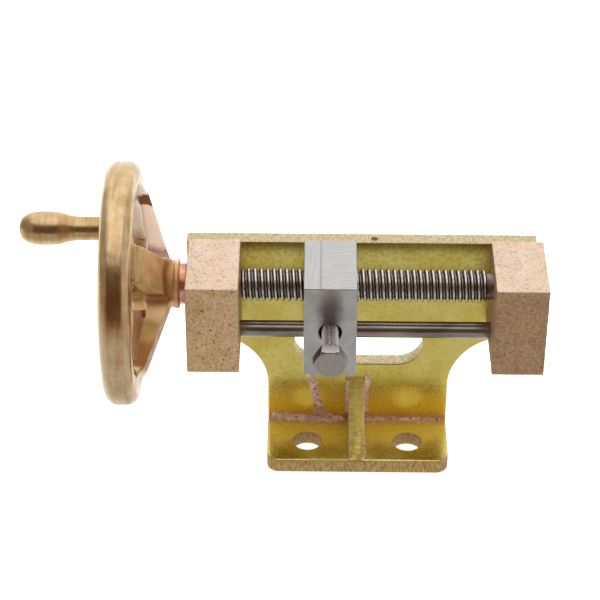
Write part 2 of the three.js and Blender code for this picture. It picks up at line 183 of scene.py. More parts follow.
def turned(profile, centre, axis=0, segments=96, ring=False):
    """A turned shape from (along, radius) points: from axis to axis, or a ring that closes on itself.

    A radius may also be an array with one value for each of the segments.
    """
    angles = angles_of(segments)
    points = np.zeros((len(profile), segments, 3))
    across, up = across_up(axis)
    for row, (along, radius) in zip(points, profile):
        row[:, axis] = along
        row[:, across] = centre[0] + radius * np.cos(angles)
        row[:, up] = centre[1] + radius * np.sin(angles)
    return points.reshape(-1, 3), grid_faces(len(profile), segments, wrap_columns=True, wrap_rows=ring)


def tube(start, end, inner, outer, centre, edge=0.15, axis=0, segments=96):
    """A ring of square section with softened edges."""
    corners = [(start, inner), (start, outer), (end, outer), (end, inner)]
    return turned(softened(corners, edge, closed=True), centre, axis, segments, ring=True)


def joined(*shapes):
    """Several (points, faces) shapes as one."""
    points, faces, offset = [], [], 0
    for shape_points, shape_faces in shapes:
        points.append(np.array(shape_points))
        faces += [[i + offset for i in face] for face in shape_faces]
        offset += len(shape_points)
    return np.concatenate(points), faces


def outward(outline):
    """For each point of a loop, the step out of the material that moves both of its sides out by one."""
    here = np.array(outline, float)
    to_next = np.roll(here, -1, 0) - here
    to_next /= np.linalg.norm(to_next, axis=1)[:, None]
    side = np.stack([to_next[:, 1], -to_next[:, 0]], -1)
    before = np.roll(side, 1, 0)
    return (side + before) / (1 + (side * before).sum(1))[:, None]


def slab(outlines, low, high, axis, edge, stacks=None):
    """A plate with rounded edges. The first outline runs anticlockwise and the holes run clockwise.

    stacks gives an outline its own (inset, place along the axis) steps, from the low face to the high one.
    """
    quarter = np.radians(np.linspace(90, 0, 5))
    rise = [(edge * (1 - math.cos(a)), low + edge * (1 - math.sin(a))) for a in quarter]
    fall = [(inset, low + high - height) for inset, height in reversed(rise)]
    plain = [(edge * 1.25, low)] + rise + fall + [(edge * 1.25, high)]
    shapes, caps = [], ([], [])
    for number, outline in enumerate(outlines):
        base, step = np.array(outline, float), outward(outline)
        stack = (stacks or {}).get(number, plain)
        points = np.zeros((len(stack), len(base), 3))
        across, up = across_up(axis)
        for row, (inset, height) in enumerate(stack):
            flat = base - step * inset
            points[row, :, across], points[row, :, up], points[row, :, axis] = flat[:, 0], flat[:, 1], height
        shapes.append((points.reshape(-1, 3), grid_faces(len(stack), len(base), wrap_columns=True)))
        caps[0].append(points[0])
        caps[1].append(points[-1])
    for loops in caps:
        triangles = tessellate_polygon([[Vector(p) for p in loop] for loop in loops])
        shapes.append((np.concatenate(loops), [list(t) for t in triangles]))
    return joined(*shapes)


def rounded_block(low, high, radius, step):
    """A box with rounded edges whose faces are an even grid of points."""
    edge = radius * np.array([0, 0.3, 0.62])
    lines = []
    for start, end in zip(low, high):
        count = max(2, round((end - start - 2 * radius) / step))
        inside = np.linspace(start + radius, end - radius, count + 1)
        lines.append(np.concatenate([start + edge, inside, (end - edge)[::-1]]))
    index, points, faces = {}, [], []
    for axis in range(3):
        across, up = across_up(axis)
        ends = (0, len(lines[axis]) - 1)
        for side, a, b in product(ends, range(len(lines[across]) - 1), range(len(lines[up]) - 1)):
            face = []
            for da, db in QUAD:
                key = [0, 0, 0]
                key[axis], key[across], key[up] = side, a + da, b + db
                key = tuple(key)
                if key not in index:
                    place = np.array([line[i] for line, i in zip(lines, key)])
                    core = np.clip(place, low + radius, high - radius)
                    out = place - core
                    index[key] = len(points)
                    points.append(core + out / np.linalg.norm(out) * radius)
                face.append(index[key])
            faces.append(face)
    return np.array(points), faces


def surface_net(field, low, high, step):
    """The zero surface of a distance field that is negative inside, as (points, faces)."""
    axes = [np.arange(a, b + step, step) for a, b in zip(low, high)]
    value = field(np.stack(np.meshgrid(*axes, indexing="ij"), -1))
    shape = np.array(value.shape)
    total = np.zeros(tuple(shape - 1) + (3,))
    hits = np.zeros(tuple(shape - 1))

    def corner(offset):
        return value[tuple(slice(o, n - 1 + o) for o, n in zip(offset, shape))]

    for axis in range(3):
        across, up = across_up(axis)
        for first, second in product((0, 1), repeat=2):
            start = [0, 0, 0]
            start[across], start[up] = first, second
            end = list(start)
            end[axis] = 1
            a, b = corner(start), corner(end)
            crossing = (a < 0) != (b < 0)
            total[..., axis] += np.where(crossing, a / np.where(crossing, a - b, 1), 0)
            total[..., across] += crossing * first
            total[..., up] += crossing * second
            hits += crossing
    cells = np.argwhere(hits > 0)
    crossed = tuple(cells.T)
    number = np.full(hits.shape, -1)
    number[crossed] = np.arange(len(cells))
    points = np.array([a[0] for a in axes]) + step * (cells + total[crossed] / hits[crossed][:, None])
    faces = []
    for axis in range(3):
        across, up = across_up(axis)
        cut = [slice(1, -1)] * 3
        cut[axis] = slice(0, -1)
        ahead = list(cut)
        ahead[axis] = slice(1, None)
        changes = np.argwhere((value[tuple(cut)] < 0) != (value[tuple(ahead)] < 0))
        changes[:, [across, up]] += 1
        corners = []
        for da, db in QUAD:
            cell = changes.copy()
            cell[:, across] -= da
            cell[:, up] -= db
            corners.append(number[tuple(cell.T)])
        faces += np.stack(corners, -1).tolist()
    return settle(field, points), faces


def settle(field, points, rounds=3, reach=0.01):
    """The points moved onto the field's zero surface."""
    for _ in range(rounds):
        slope = np.zeros_like(points)
        for axis in range(3):
            nudge = np.zeros(3)
            nudge[axis] = reach
            slope[:, axis] = (field(points + nudge) - field(points - nudge)) / (2 * reach)
        slope /= np.maximum((slope ** 2).sum(1), 0.2)[:, None]
        points = points - slope * field(points)[:, None] * 0.9
    return points


def clean(mesh, sharp):
    """Merges equal points, turns the faces out and makes edges sharper than that many degrees sharp."""
    bm = bmesh.new()
    bm.from_mesh(mesh)
    bmesh.ops.remove_doubles(bm, verts=bm.verts, dist=MERGE)
    bmesh.ops.recalc_face_normals(bm, faces=bm.faces)
    limit = math.radians(sharp)
    for face in bm.faces:
        face.smooth = True
    for edge in bm.edges:
        edge.smooth = len(edge.link_faces) != 2 or edge.calc_face_angle(0) < limit
    bm.to_mesh(mesh)
    bm.free()


def add_object(name, data):
    made = bpy.data.objects.new(name, data)
    bpy.context.scene.collection.objects.link(made)
    return made


def mesh_object(name, shape, sharp):
    """A Blender object from points in millimetres."""
    mesh = bpy.data.meshes.new(name)
    mesh.from_pydata((np.array(shape[0]) * MM).tolist(), [], shape[1])
    clean(mesh, sharp)
    return add_object(name, mesh)


def carve(target, cutters, sharp):
    """Cuts the shapes out of the object."""
    for shape in cutters:
        tool = mesh_object("cutter", shape, sharp)
        step = target.modifiers.new("cut", "BOOLEAN")
        step.operation = "DIFFERENCE"
        step.solver = "EXACT"
        step.object = tool
        graph = bpy.context.evaluated_depsgraph_get()
        mesh = bpy.data.meshes.new_from_object(target.evaluated_get(graph))
        target.modifiers.clear()
        target.data = mesh
        bpy.data.objects.remove(tool)
    clean(target.data, sharp)


def piece(node, body, finish, shape, cutters=(), sharp=38):
    """The surface that stands for a CAD node."""
    target = mesh_object(f"{node}_surface", shape, sharp)
    if cutters:
        carve(target, cutters, sharp)
    target.data.name = target.name
    target.data.materials.clear()
    target.data.materials.append(finish)
    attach(target, body)
    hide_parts(node)


def rough(point, size, seed=0.0):
    """Smooth noise from -1 to 1 with features of that size in millimetres."""
    return noise.noise(Vector(point) / size + Vector((seed, seed * 1.7, seed * 2.3)))


# ---------- finishes ----------

def colour(code):
    """A linear colour from a hex code."""
    channels = [int(code[i:i + 2], 16) / 255 for i in (0, 2, 4)]
    return tuple(c / 12.92 if c <= 0.04045 else ((c + 0.055) / 1.055) ** 2.4 for c in channels) + (1.0,)


class Value:
    """An output in a node tree. Arithmetic with it adds the nodes that work it out."""

    def __init__(self, nodes, socket):
        self.nodes, self.socket = nodes, socket

    def __add__(self, other):
        return self.nodes.math("ADD", self, other)

    def __sub__(self, other):
        return self.nodes.math("SUBTRACT", self, other)

    def __rsub__(self, other):
        return self.nodes.math("SUBTRACT", other, self)

    def __mul__(self, other):
        return self.nodes.math("MULTIPLY", self, other)

    def __abs__(self):
        return self.nodes.math("ABSOLUTE", self)

    def between(self, low, high, start=0.0, end=1.0):
        """start where this is below low, end where it is above high, and smooth from one to the other."""
        inputs = dict(enumerate((self, low, high, start, end)))
        return self.nodes.add("ShaderNodeMapRange", inputs, interpolation_type="SMOOTHSTEP")

    def over(self, low, high, share=1.0):
        """Nothing below low, the share above high."""
        return self.between(low, high, 0.0, share)

    def under(self, low, high, share=1.0):
        """The share below low, nothing above high."""
        return self.between(low, high, share, 0.0)


class Nodes:
    """A node tree, with short calls that add to it."""

    def __init__(self, tree):
        self.tree = tree

    def feed(self, socket, value):
        if isinstance(value, Value):
            self.tree.links.new(value.socket, socket)
        else:
            socket.default_value = colour(value) if isinstance(value, str) else value

    def add(self, kind, inputs, output=0, **settings):
        """A new node, as the value of one of its outputs."""
        node = self.tree.nodes.new(kind)
        for key, value in settings.items():
            setattr(node, key, value)
        for key, value in inputs.items():
            self.feed(node.inputs[key], value)
        return Value(self, node.outputs[output])

    def math(self, operation, *values):
        return self.add("ShaderNodeMath", dict(enumerate(values)), operation=operation)

    def split(self, vector):
        """A vector's components along X, Y and Z."""
        node = self.add("ShaderNodeSeparateXYZ", {0: vector}).socket.node
        return [Value(self, output) for output in node.outputs]

    def distance(self, a, b):
        return self.math("SQRT", a * a + b * b)

    def mix(self, share, a, b):
        """Colour a under a share of colour b."""
        return self.add("ShaderNodeMix", {0: share, 6: a, 7: b}, 2, data_type="RGBA")

    def look(self, values):
        """Sets or links inputs of the Principled shader."""
        shader = self.tree.nodes["Principled BSDF"]
        for key, value in values.items():
            self.feed(shader.inputs[key], value)


class Finish(Nodes):
    """A material whose base colour is painted in layers. Places are in millimetres."""

    def __init__(self, name, metallic=1.0):
        self.material = bpy.data.materials.new(name)
        self.material.use_nodes = True
        super().__init__(self.material.node_tree)
        self.look({"Metallic": metallic})
        place = self.add("ShaderNodeTexCoord", {}, "Object")
        self.place = self.add("ShaderNodeVectorMath", {0: place, "Scale": 1 / MM}, operation="SCALE")
        self.at = self.split(self.place)
        self.facing = self.split(self.add("ShaderNodeTexCoord", {}, "Normal"))
        self.base = self.normal = None

    def noise(self, size, detail=3.0, stretch=(1, 1, 1), roughness=0.55, place=None):
        """Noise from 0 to 1 with features of about that many millimetres, longer along a stretched axis."""
        scaled = {0: place or self.place, "Scale": [1 / (size * s) for s in stretch]}
        inputs = {"Vector": self.add("ShaderNodeMapping", scaled), "Scale": 1.0, "Detail": detail,
                  "Roughness": roughness}
        return self.add("ShaderNodeTexNoise", inputs)

    def paint(self, share, cover):
        """A layer over the base colour."""
        self.base = self.mix(share, self.base, cover)

    def bump(self, height, depth):
        inputs = {"Height": height, "Distance": depth * MM, "Strength": 1.0}
        if self.normal is not None:
            inputs["Normal"] = self.normal
        self.normal = self.add("ShaderNodeBump", inputs)

    def done(self, roughness):
        self.look({"Base Color": self.base, "Roughness": roughness, "Normal": self.normal})
        return self.material


def sheet_brass(name, face_axis, edge_colours, seam, tint, tinted_metal, hole_reflection_strength=0.0):
    """Olive brass sheet with pale milled edges. seam is (axis, place) where the braze heat has tinted it."""
    f = Finish(name)
    x, y, z = f.at
    cloud = f.noise(1.1)
    f.base = f.mix(f.noise(7.0, 4).between(0.35, 0.65), "E3CF68", "ECDC80")
    f.paint(cloud.over(0.45, 0.75, 0.35), "C4AC4C")
    near = abs(f.at[seam[0]] - seam[1])
    tinted = (near + f.noise(6.0, 2) * 7.0).under(7.0, 19.0)
    f.paint(tinted * 0.9, tint)
    # Painted reflections of the foot's holes: a pale yellow patch above each hole on the plate's front, as
    # strong as the strength given.
    reflection_x, reflection_out = abs(x) - FOOT_HOLE_X, (near - 7.2) * 1.3
    spot = (reflection_x * reflection_x + reflection_out * reflection_out).under(0.0, 26.0, hole_reflection_strength)
    spot = spot * f.facing[1].under(-0.9, -0.7)
    f.paint(spot, "FBE45C")
    f.paint((near + f.noise(2.2) * 4.0).under(3.4, 5.0, 0.55), "D79A78")
    f.look({"Metallic": tinted.between(0, 1, 1, tinted_metal) - spot * 0.3})
    on_edge = abs(f.facing[face_axis]).under(0.5, 0.8)
    edge_grain = f.noise(0.28, stretch=[5 if axis == face_axis else 1 for axis in range(3)])
    f.paint(on_edge * 0.9, f.mix(edge_grain.between(0.35, 0.65), *edge_colours))
    # Painted shade: the small dent in the plate's top edge painted dark.
    from_dent = f.distance(x - DENT_X, y - (PLATE_LOW[1] + DENT_IN))
    in_dent = (from_dent + f.noise(0.6, 1) * 0.4).under(0.7, 1.3, 0.8)
    f.paint(in_dent * z.over(PLATE_HIGH[2] - 1.0, PLATE_HIGH[2] - 0.5), "4A3A1A")
    f.bump(f.noise(6.0, 2), 0.05)
    f.bump(cloud, 0.012)
    f.bump(edge_grain * on_edge, 0.09)
    return f.done(cloud.between(0.3, 0.7, 0.2, 0.3) + on_edge * 0.25)


def rib_brass():
    """The gusset: sheet brass whose sloping edge keeps its saw lines."""
    f = Finish("rib_brass", metallic=0.75)
    cloud = f.noise(1.4)
    saw = f.noise(0.16, 2, stretch=(14, 1, 1))
    f.base = f.mix(cloud.between(0.35, 0.7), "EAD678", "D8BE5C")
    rim = abs(f.at[0] - (RIB_LOW[0] + RIB_HIGH[0]) / 2) + f.noise(0.8, 2) * 0.3
    f.paint(rim.over(RIB_HALF - 0.3, RIB_HALF - 0.1, 0.8), "F0D8B0")
    on_slope = f.facing[2].over(0.2, 0.5)
    f.paint(saw.over(0.45, 0.68, 0.55) * on_slope, "77682C")
    f.paint(f.at[2].under(5.0, 12.0, 0.5) * cloud.over(0.4, 0.6), "9A6A35")
    f.bump(saw, 0.05)
    f.bump(cloud, 0.03)
    return f.done(saw.between(0.3, 0.7, 0.45, 0.32))


def cast_bronze(name, sides, pits):
    """Sand-cast bronze with a dressed top that has fewer pits: fine grain, small dark pits and a few stains.
    The top is painted lighter than the sides as painted light from above, and a painted highlight runs along
    the top front edge.
    """
    f = Finish(name, metallic=0.5)
    grain = f.noise(0.5, roughness=0.65)
    patch = f.noise(4.5)
    clump = f.noise(3.0).between(0.4, 0.62, 0.02, 0.08)
    pit = (f.noise(0.75, roughness=0.7) - (clump + 0.31)).under(-0.02, 0.03)
    # Faces that turn up: painted lighter as painted light from above, and given fewer pits.
    dressed = f.facing[2].over(0.4, 0.8)
    top = f.mix(patch.between(0.35, 0.65), "F0D8C4", "E9CCAF")
    f.base = f.mix(patch.between(0.35, 0.65), *sides)
    f.paint(dressed, top)
    f.paint(grain.over(0.45, 0.68, 0.5 * pits), "F4DFC6")
    f.paint(grain.under(0.3, 0.46, 0.5), "8F6A48")
    f.paint(f.noise(1.6, 2).over(0.68, 0.74) * 0.55, "A0601F")
    f.paint(pit * dressed.between(0, 1, pits, 0.35), "5E4026")
    # A painted highlight along the top front edge.
    top_edge_highlight = f.facing[2] * (f.facing[1] * -1.0)
    f.paint(top_edge_highlight.over(0.12, 0.4, 0.75), "FFF3E0")
    f.bump(grain, 0.32)
    f.bump(f.noise(0.18, 2), 0.06)
    f.bump(pit * -pits, 0.2)
    return f.done(grain.between(0.35, 0.65, 0.56, 0.42))


def polished_bronze(name, grain_size=0.3):
    """Polished cast bronze: soft gloss and faint speckle, with painted light and painted shade on the rim and
    in the dish inside it.
    """
    f = Finish(name)
    x = f.at[0]
    back, height = f.at[1] - SCREW_Y, f.at[2] - SCREW_Z
    speckle = f.noise(grain_size, roughness=0.6)
    cloud = f.noise(5.0, 4)
    wiped = f.noise(1.0, stretch=(1, 9, 9))
    uneven = (f.noise(2.0) - 0.5) * 2.0
    out = f.distance(back, height) + uneven
    on_wheel = x.over(RIM_LEFT - 0.1, RIM_LEFT + 0.1)
    far = back.over(-1.0, 2.0)
    high = height.over(-4.0, 2.0)

    f.base = f.mix(cloud.between(0.35, 0.68), "E0C499", "C9A876")
    f.paint(wiped.over(0.5, 0.7, 0.4), "B4884E")
    f.paint(wiped.under(0.3, 0.46, 0.4), "F6E2C6")
    f.paint(speckle.over(0.52, 0.72, 0.35), "BC925F")
    # A painted highlight: the rim's left side, apart from its upper part, painted pale.
    left_flank_light = x.under(RIM_LEFT + 0.8, RIM_LEFT + 2.6, 0.6) * height.under(5.0, 12.0)
    f.paint(left_flank_light * on_wheel, "FFEFD0")
    f.paint(on_wheel.under(0, 1, 0.35), "C09A66")
    # A painted reflection: a brown band on the near side of the rim above the axis, strongest off the crown,
    # standing in for a dark reflection.
    off_crown = abs(x - (RIM_LEFT + RIM_RIGHT) / 2)
    dark_reflection_band = (height + uneven).over(1.0, 7.0) * height.under(14.0, 21.0) * back.under(-22.0, -18.0)
    f.paint(dark_reflection_band * off_crown.between(1.2, 3.0, 0.55, 0.15), "B5713A")

    # The dish inside the rim: the spokes and the hub, with painted light and painted shade
    inside = out.under(RIM_INNER_RADIUS - 1.4, RIM_INNER_RADIUS - 0.2) * on_wheel
    lobe = out.under(9.0, 12.0) * height.under(-2.0, 0.0) * (1.0 - far)
    neck = abs(x - (HUB_RIGHT - 1.7)).under(0.5, 1.0, 0.5) * out.under(7.2, 8.0)
    by_hub = out.under(8.0, 10.0) * out.over(HUB_RADIUS + 0.6, HUB_RADIUS + 1.4)
    by_hub = f.math("MAXIMUM", by_hub, neck)
    cast = f.mix(cloud.between(0.35, 0.68), "D8B078", "BE9055")
    # Painted light on the far upper side and on the lobe under the hub; painted shade low down, at the far
    # blade tips and in the fillets and groove by the hub.
    for share, code in ((far * high, "FFE6D2"), (height.under(-8.0, -6.0, 0.85), "A26A34"),
                        (out.over(18.3, 18.7) * far, "7C4E26"),
                        (by_hub * height.between(-5.0, -2.0, 0.3, 0.75), "8A4A22"), (lobe * 0.8, "FFDCA4")):
        cast = f.mix(share, cast, code)
    f.paint(inside, cast)

    # Painted light and shade: the rim's far inner flank painted pale above the axis and brown below it.
    flank = x.over(RIM_RIGHT - 3.4, RIM_RIGHT - 2.8) * out.under(24.5, 25.5) * far * (1.0 - inside)
    f.paint(flank, f.mix(high, "B58656", "FFF2E6"))
    matt = f.math("MAXIMUM", inside * 0.45, f.math("MAXIMUM", flank, lobe) * 0.85)
    f.look({"Metallic": 1.0 - matt})
    f.bump(speckle, 0.028)
    f.bump(f.noise(0.25, 2, stretch=(1, 12, 12)), 0.012)
    f.bump(f.noise(3.0, 2), 0.05)
    return f.done(wiped.between(0.3, 0.7, 0.16, 0.3) + inside * 0.16)


def braze_copper():
    """Braze metal: pink copper, lumpy and part matt."""
    f = Finish("braze_copper", metallic=0.4)
    lump = f.noise(0.9, 4, roughness=0.65)
    fine = f.noise(0.3)
    f.base = f.mix(lump.between(0.35, 0.65), "FFE8D8", "E0A68A")
    f.paint(f.noise(2.4, 2).over(0.5, 0.6, 0.5), "B47C48")
    # Painted highlights as fine pale specks, and painted shade as dark specks in the gaps between lumps.
    f.paint(fine.over(0.48, 0.62, 0.9), "FFEADF")
    f.paint(f.noise(0.9, 2).over(0.62, 0.7, 0.85), "4A2416")
    f.bump(lump, 0.35)
    f.bump(fine, 0.08)
    return f.done(lump.between(0.3, 0.7, 0.28, 0.45))


def turned_metal(name, light, dark, roughness):
    """Metal with fine turning marks round an axis along X."""
    f = Finish(name)
    mark = f.noise(0.12, 2, stretch=(1, 40, 40))
    cloud = f.noise(1.8)
    f.base = f.mix(cloud.between(0.35, 0.65), light, dark)
    f.bump(mark, 0.012)
    f.bump(cloud, 0.02)
    return f.done(mark.between(0.3, 0.7, roughness - 0.06, roughness + 0.06))


def thread_steel():
    """Dark cut thread with patches of brown grime, and painted highlights along the crest and on the root
    flat.
    """
    f = Finish("thread_steel")
    grime = f.noise(1.3, 4)
    height = f.distance(f.at[1] - SCREW_Y, f.at[2] - SCREW_Z) + grime * 0.25
    # Painted highlights: the crest as a pale line, and the root flat as a fainter line.
    crest_highlight = height.over(SCREW_RADIUS - 0.25, SCREW_RADIUS + 0.05)
    f.base = f.mix(crest_highlight, "6C6058", "E4DED8")
    f.paint(height.under(SCREW_RADIUS - 0.76, SCREW_RADIUS - 0.6, 0.7), "B8AEA5")
    f.paint(grime.over(0.5, 0.7, 0.4), "5C4636")
    f.bump(f.noise(0.12, 2, stretch=(1, 8, 8)), 0.01)
    return f.done(crest_highlight.between(0, 1, 0.42, 0.26))


def rod_steel():
    """Drawn dark rod, with faint marks along it."""
    f = Finish("rod_steel")
    along = f.noise(0.18, 2, stretch=(60, 1, 1))
    f.base = f.mix(f.noise(4.0, stretch=(3, 1, 1)).between(0.35, 0.65), "AAA19A", "877D76")
    f.bump(along, 0.01)
    return f.done(along.between(0.3, 0.7, 0.16, 0.26))


def ground_steel():
    """The nut block: fly-cut arcs on top, level marks on its sides and a dark smear over the bolt hole."""
    f = Finish("ground_steel")
    x, y, z = f.at
    on_top = f.facing[2].over(0.7, 0.9)
    f.base = f.mix(f.noise(3.5).between(0.35, 0.65), "C9C8C7", "BAB8B6")

    # Two passes of the cutter meet in a line across the top
    step_x = NUT_LOW[0] + 4.0
    reach = f.distance(x - (NUT_HIGH[0] - 1.0), y - (NUT_LOW[1] - 5.0))
    arcs = f.noise(0.3, 2, place=f.add("ShaderNodeCombineXYZ", {0: reach}))
    cross = f.noise(0.2, 2, stretch=(1, 40, 40)) * 0.4 + 0.3
    second_pass = x.over(step_x - 0.1, step_x + 0.05)
    top_marks = cross * (1.0 - second_pass) + arcs * second_pass
    f.paint(on_top * 0.8, f.mix(top_marks.between(0.35, 0.65), "ACABAA", "CFCECD"))
    f.paint(abs(x - step_x).under(0.08, 0.2) * on_top * 0.6, "77726E")

    # Grease over the bolt, and painted shade in the mouth of its hole
    side = abs(x - BOLT_X) + f.noise(1.6) * 1.6
    smear = side.under(1.3, 4.5) * z.over(BOLT_Z, BOLT_Z + 1.5)
    smear = smear * z.between(BOLT_Z + 5.5, NUT_HIGH[2] - 0.4, 1.0, 0.5) * f.facing[1].under(-0.9, -0.6)
    f.paint(smear * 0.72, "5C4C3E")
    # Painted shade: the mouth of the bolt hole painted near black.
    from_bolt = f.distance(z - BOLT_Z, x - BOLT_X)
    in_mouth = from_bolt.under(BOLT_MOUTH_RADIUS + 0.05, BOLT_MOUTH_RADIUS + 0.25, 0.9)
    f.paint(in_mouth * y.over(NUT_LOW[1] + 0.1, NUT_LOW[1] + 0.4), "241E1A")

    level = f.noise(0.16, stretch=(30, 30, 1))
    f.bump(top_marks * on_top, 0.04)
    f.bump(second_pass * on_top, 0.03)
    f.bump(level, 0.016)
    return f.done(level.between(0.3, 0.7, 0.26, 0.36) + smear * 0.15)


def bolt_steel():
    """Bright turned bolt with rings on the face of its head, painted shade and highlights on its thread, and
    painted light and shade on the flats of its head.
    """
    f = Finish("bolt_steel")
    reach = f.distance(f.at[0] - BOLT_X, f.at[2] - BOLT_Z)
    rings = f.noise(0.3, 2, place=f.add("ShaderNodeCombineXYZ", {0: reach, 1: f.at[1] * 0.02}))
    head_back = BOLT_LOW[1] + HEAD_THICKNESS
    behind = f.at[1].over(head_back, head_back + 0.1)
    on_head = 1.0 - behind
    f.base = f.mix(rings.between(0.35, 0.65), "B9B1AA", "A9A09A")
    # Painted shade in the thread roots and painted highlights on the crests.
    f.paint(reach.under(BOLT_RADIUS - 0.34, BOLT_RADIUS - 0.18, 0.95) * behind, "3C342E")
    f.paint(reach.over(BOLT_RADIUS - 0.2, BOLT_RADIUS - 0.1, 0.85) * behind, "F6F3F0")
    # Painted light on the head: the top flat and the right flats painted pale, and the left flats painted
    # dark as painted shade.
    f.paint(f.facing[2].over(0.9, 0.97) * on_head * 0.7, "F0ECE8")
    sideways = f.facing[0] * on_head
    f.paint(sideways.over(0.5, 0.8, 0.7), "F4F1EE")
    f.paint(sideways.under(-0.8, -0.5, 0.6), "66544A")
    f.bump(rings * f.facing[1].under(-0.9, -0.7), 0.012)
    f.bump(f.noise(0.5, 2), 0.02)
    return f.done(rings.between(0.3, 0.7, 0.2, 0.3))


# ---------- bracket ----------

def circle(x, y, radius, steps):
    """A clockwise loop, as a hole."""
    return arc(x, y, radius, 360, 0, steps)[:-1]


def back_plate():
    half, low = FOOT_HIGH[0], FOOT_HIGH[2]
    waist = BAND_BOTTOM - WAIST_RADIUS
    left, right, top = PLATE_LOW[0], PLATE_HIGH[0], PLATE_HIGH[2]
    outline = [(-half, low), (half, low)]
    outline += arc(half + WAIST_RADIUS, waist, WAIST_RADIUS, 180, 90, 32)
    outline += [(right, BAND_BOTTOM), (right, top), (left, top), (left, BAND_BOTTOM)]
    outline += arc(-half - WAIST_RADIUS, waist, WAIST_RADIUS, 90, 0, 32)
    end = (SLOT_LENGTH - SLOT_HEIGHT) / 2
    slot = arc(end, SLOT_Z, SLOT_HEIGHT / 2, 90, -90, 32) + arc(-end, SLOT_Z, SLOT_HEIGHT / 2, -90, -270, 32)
    front, back = PLATE_LOW[1], PLATE_HIGH[1]
    sunk, wide = 2.1, 1.77      # of a screw's countersink
    countersink = [(0, front), (0, back - sunk), (wide - 0.1, back - 0.1), (wide, back)]
    holes = [circle(x, z, BOLT_RADIUS + SLIDING_GAP, 48) for x, z in BLOCK_SCREWS]
    stacks = {i + 2: countersink for i in range(len(holes))}
    plate = slab([outline, slot] + holes, front, back, 1, PLATE_EDGE, stacks)
    dent_radius, dent_stretch, dent_above = 0.7, 1.5, 0.35
    dent = turned(arc(front + DENT_IN, 0, dent_radius, 180, 0, 12), (DENT_X, top + dent_above), 1, 32)
    dent[0][:, 0] = DENT_X + (dent[0][:, 0] - DENT_X) * dent_stretch
    finish = sheet_brass("plate_brass", 1, ("BAAA88", "DFD2B4"), (2, low), "EAC22C", 0.4, 0.8)
    piece("back_plate", "bracket", finish, plate, [dent])


def foot_plate():
    half, front, back = FOOT_HIGH[0], FOOT_LOW[1], FOOT_HIGH[1]
    outline = arc(-half + FOOT_CORNER, front + FOOT_CORNER, FOOT_CORNER, 180, 270, 16)
    outline += arc(half - FOOT_CORNER, front + FOOT_CORNER, FOOT_CORNER, 270, 360, 16)
    outline += [(half, back), (-half, back)]
    holes = [circle(side * FOOT_HOLE_X, 0, FOOT_HOLE_RADIUS, 64) for side in (-1, 1)]
    foot = slab([outline] + holes, FOOT_LOW[2], FOOT_HIGH[2], 2, FOOT_EDGE)
    finish = sheet_brass("foot_brass", 2, ("A07C4E", "D8B482"), (1, PLATE_LOW[1]), "F2D246", 0.08)
    piece("foot_plate", "bracket", finish, foot)


def gusset_rib():
    toe = 0.6
    front, back, low, top = RIB_LOW[1], RIB_HIGH[1], RIB_LOW[2], RIB_HIGH[2]
    outline = [(front, low), (back, low), (back, top), (front, low + toe)]
    rib = slab([outline], RIB_LOW[0], RIB_HIGH[0], 0, RIB_EDGE)
    piece("gusset_rib", "bracket", rib_brass(), rib)


def rod(start, end, radius, centre, axis=0):
    """A plain cylinder, to cut with."""
    return turned([(start, 0), (start, radius), (end, radius), (end, 0)], centre, axis)


def bearing_block(node, low, high, sides, pits, seed):
    """A cast block: dense, slightly uneven faces with the bores cut in it."""
    inset, corner, step = 0.04, 0.32, 0.32
    points, faces = rounded_block(low + inset, high - inset, corner, step)
    centre = (low + high) / 2
    for i, point in enumerate(points):
        wave = 0.05 * rough(point, 3.5, seed) + 0.045 * rough(point, 0.9, seed + 5)
        out = point - np.clip(point, low + 0.6, high - 0.6)
        if not out.any():
            out = point - centre
        points[i] = np.clip(point + out / np.linalg.norm(out) * wave, low, high)
    left = node.startswith("left")
    inner, outer = (high[0], low[0]) if left else (low[0], high[0])
    into = -1 if left else 1
    bush_end = outer + into if left else inner + 10 * into
    bush_fit, rail_fit, rail_depth = 0.03, 0.05, 6
    bores = [rod(inner - into, bush_end, BUSH_RADIUS + bush_fit, SCREW_AXIS),
             rod(inner - into, inner + rail_depth * into, RAIL_RADIUS + rail_fit, RAIL_AXIS)]
    finish = cast_bronze(f"{node}_bronze", sides, pits)
    piece(node, "bracket", finish, (points, faces), bores, sharp=60)


def guide_rod():
    start, end = (corner[0] for corner in span("guide_rod"))
    profile = softened([(start, 0), (start, RAIL_RADIUS), (end, RAIL_RADIUS), (end, 0)], 0.2)
    piece("guide_rod", "bracket", rod_steel(), turned(profile, RAIL_AXIS))


def bushes():
    bronze = turned_metal("bush_bronze", "C79A62", "A97E48", 0.3)
    for node in ("left_bush", "right_bush"):
        low, high = span(node)
        bush = tube(low[0], high[0], BUSH_BORE, BUSH_RADIUS, SCREW_AXIS)
        piece(node, "bracket", bronze, bush)


def block_screws(steel):
    """Countersunk screws with a driver slot, each turned its own way."""
    shank, point = 2.0, 1.7
    for i, (x, z) in enumerate(BLOCK_SCREWS):
        node = f"block_screw_{i + 1}"
        low, high = span(node)
        tip, back, head = low[1], high[1], (high[0] - low[0]) / 2
        profile = [(tip, 0), (tip, point), (tip + 0.3, shank), (back - 2.08, shank), (back - 0.2, head),
                   (back, head - 0.12), (back, 0)]
        half = np.array([4.5, 1.0, 0.45])
        slot = rounded_block(-half, half, 0.05, 4.0)
        angle = math.pi / 5 + 0.7 * i
        cos, sin = math.cos(angle), math.sin(angle)
        turn = np.array([[cos, 0, sin], [0, 1, 0], [-sin, 0, cos]])
        slot = (slot[0] @ turn.T + np.array([x, back + 0.1, z]), slot[1])
        screw = turned(softened(profile, 0.12), (x, z), 1, 64)
        piece(node, "bracket", steel, screw, [slot])


